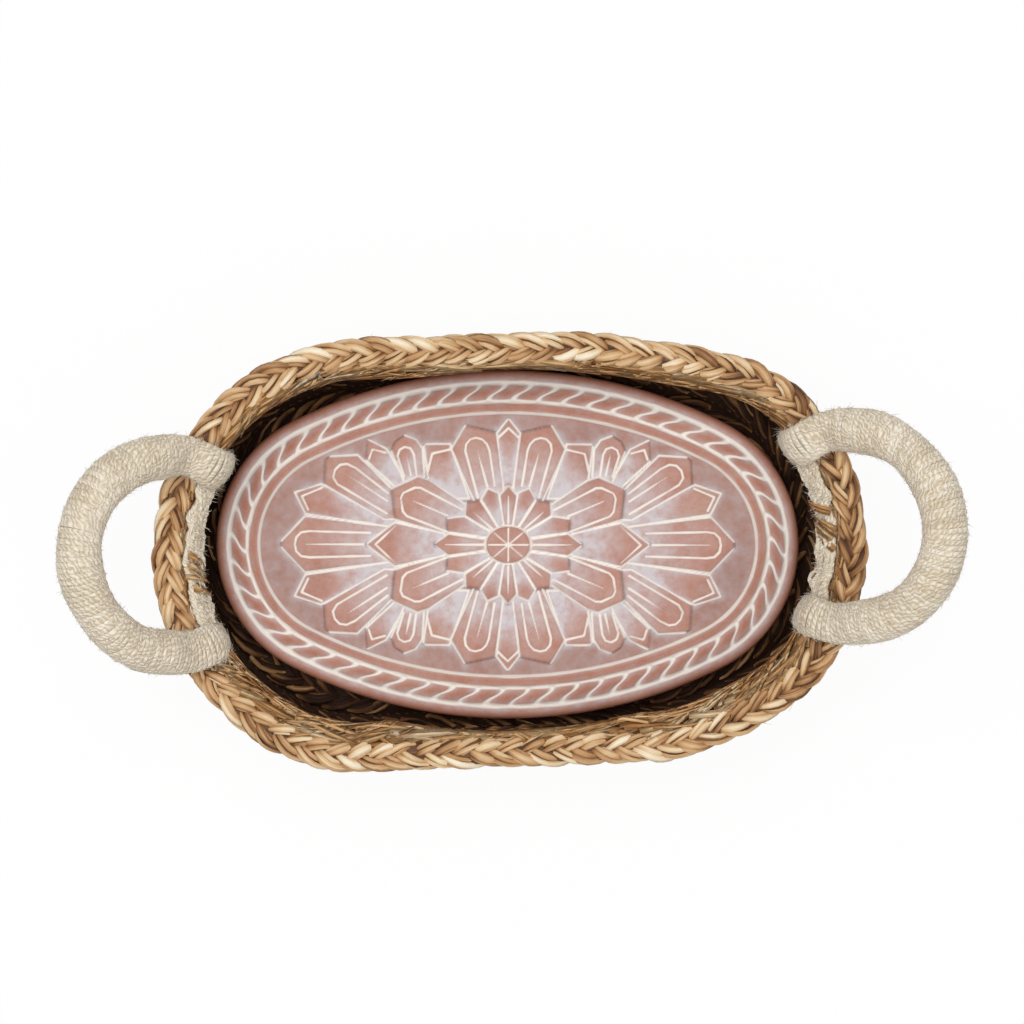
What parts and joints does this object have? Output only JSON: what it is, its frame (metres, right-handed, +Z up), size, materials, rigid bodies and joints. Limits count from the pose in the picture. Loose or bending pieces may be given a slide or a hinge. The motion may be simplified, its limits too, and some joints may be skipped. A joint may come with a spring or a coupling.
{
  "type": "bread warmer basket",
  "caption": "Oval braided seagrass basket with yarn-wound rope handles and a loose carved terracotta tile that is heated and laid under the bread.",
  "frame": {"origin": "middle of the basket's flat underside", "axes": "+X along the basket towards the right handle, +Y towards the back, +Z up"},
  "size_m": [0.3768, 0.187, 0.1222],
  "materials": {
    "terracotta": "unglazed, whitewashed",
    "seagrass": "braided dry seagrass",
    "twine": "plain twisted twine",
    "cotton": "soft undyed yarn"
  },
  "bodies": {
    "basket": {"floor_coil": "seagrass", "floor_twine": "twine", "wall_course_1": "seagrass", "wall_course_2": "seagrass", "wall_course_3": "seagrass", "rim_braid": "seagrass", "seam_twine_1": "twine", "seam_twine_2": "twine", "seam_twine_3": "twine", "seam_twine_4": "twine", "left_front_hook": "cotton", "left_back_hook": "cotton", "left_lashing": "cotton", "right_front_hook": "cotton", "right_back_hook": "cotton", "right_lashing": "cotton"},
    "tile": {"terracotta_tile": "terracotta"},
    "left_handle": {"left_handle_rope": "cotton", "left_handle_yarn": "cotton"},
    "right_handle": {"right_handle_rope": "cotton", "right_handle_yarn": "cotton"}
  },
  "joints": [
    {"name": "tile_lift", "type": "slide", "parent": "basket", "child": "tile", "axis": [0, 0, 1], "range_m": [0, 0.12]},
    {"name": "left_handle_hinge", "type": "hinge", "parent": "basket", "child": "left_handle", "pos_m": [-0.13609, 0.005, 0.07955], "axis": [0, 1, 0], "range_deg": [-15, 45]},
    {"name": "right_handle_hinge", "type": "hinge", "parent": "basket", "child": "right_handle", "pos_m": [0.13609, 0.005, 0.07955], "axis": [0, -1, 0], "range_deg": [-15, 45]}
  ]
}
